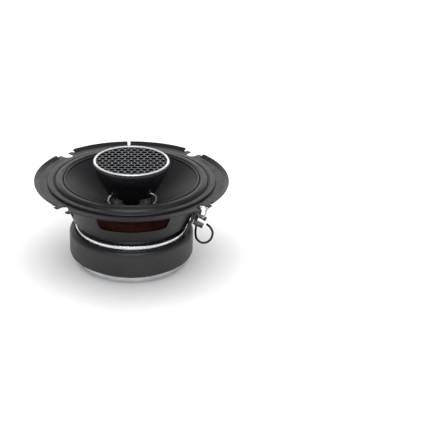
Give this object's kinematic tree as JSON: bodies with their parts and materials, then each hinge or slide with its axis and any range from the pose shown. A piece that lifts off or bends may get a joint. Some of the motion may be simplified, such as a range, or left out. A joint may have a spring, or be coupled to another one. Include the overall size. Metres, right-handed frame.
{
  "type": "coaxial car speaker",
  "caption": "Round coaxial car speaker: bass cone in a pressed steel basket with slotted flange, booted magnet, and a tweeter pod under a honeycomb grille on a centre post.",
  "frame": {"origin": "centre of the rear face of the back plate, which the speaker stands on", "axes": "+Z along the speaker's axis towards the listener, +X to the side that the terminal board is nearest"},
  "size_m": [0.1328, 0.1328, 0.0742],
  "materials": {
    "black_steel": "black powder coat, satin",
    "zinc_steel": "bright zinc plate",
    "ferrite": "sintered, matt grey-black",
    "boot_rubber": "moulded, fine matt",
    "surround_rubber": "butyl, satin",
    "cone_pulp": "black pressed pulp",
    "coil_former": "black film",
    "copper_wire": "enamelled copper winding",
    "spider_cloth": "phenolic cotton, corrugated",
    "felt": "black felt",
    "black_plastic": "moulded, gloss",
    "silver_paint": "satin silver",
    "grille_steel": "grey paint on punched steel",
    "silk": "coated silk",
    "nickel_plate": "nickel plate",
    "terminal_brass": "stamped brass, tinned",
    "tinsel": "braided tinsel wire",
    "black_sleeve": "shrink sleeve"
  },
  "bodies": {
    "frame": {"basket": "black_steel", "surround": "surround_rubber", "spider": "spider_cloth", "back_plate_and_pole": "zinc_steel", "ferrite_magnet": "ferrite", "top_plate": "zinc_steel", "magnet_boot": "boot_rubber", "plate_rivet_1": "zinc_steel", "plate_rivet_2": "zinc_steel", "plate_rivet_3": "zinc_steel", "plate_rivet_4": "zinc_steel", "tweeter_post": "black_steel", "post_screw": "zinc_steel", "post_nut": "zinc_steel", "tweeter_pod": "black_plastic", "trim_ring": "silver_paint", "honeycomb_grille": "grille_steel", "tweeter_faceplate": "black_plastic", "tweeter_cup": "nickel_plate", "tweeter_magnet": "nickel_plate", "tweeter_pole_disc": "zinc_steel", "terminal_board": "black_plastic", "terminal_blade_wide": "terminal_brass", "terminal_blade_narrow": "terminal_brass", "blade_rivet_wide": "terminal_brass", "blade_rivet_narrow": "terminal_brass", "board_rivet": "zinc_steel", "tweeter_lead_left": "tinsel", "tweeter_lead_right": "tinsel", "tinsel_lead_front": "tinsel", "tinsel_lead_rear": "tinsel", "crossover_capacitor": "black_sleeve", "capacitor_lead": "black_sleeve"},
    "cone": {"cone": "cone_pulp", "voice_coil_former": "coil_former", "voice_coil": "copper_wire", "dust_ring": "felt"},
    "tweeter_dome": {"tweeter_dome": "silk", "tweeter_coil": "copper_wire"}
  },
  "joints": [
    {"name": "cone_travel", "type": "slide", "parent": "frame", "child": "cone", "axis": [0, 0, 1], "range_m": [-0.004, 0.004], "stiffness_N_per_m": 1500, "deforming": ["surround", "spider", "tinsel_lead_front", "tinsel_lead_rear", "tweeter_lead_left", "tweeter_lead_right"]},
    {"name": "tweeter_dome_travel", "type": "slide", "parent": "frame", "child": "tweeter_dome", "axis": [0, 0, 1], "range_m": [-0.0003, 0.0003], "stiffness_N_per_m": 2000}
  ]
}
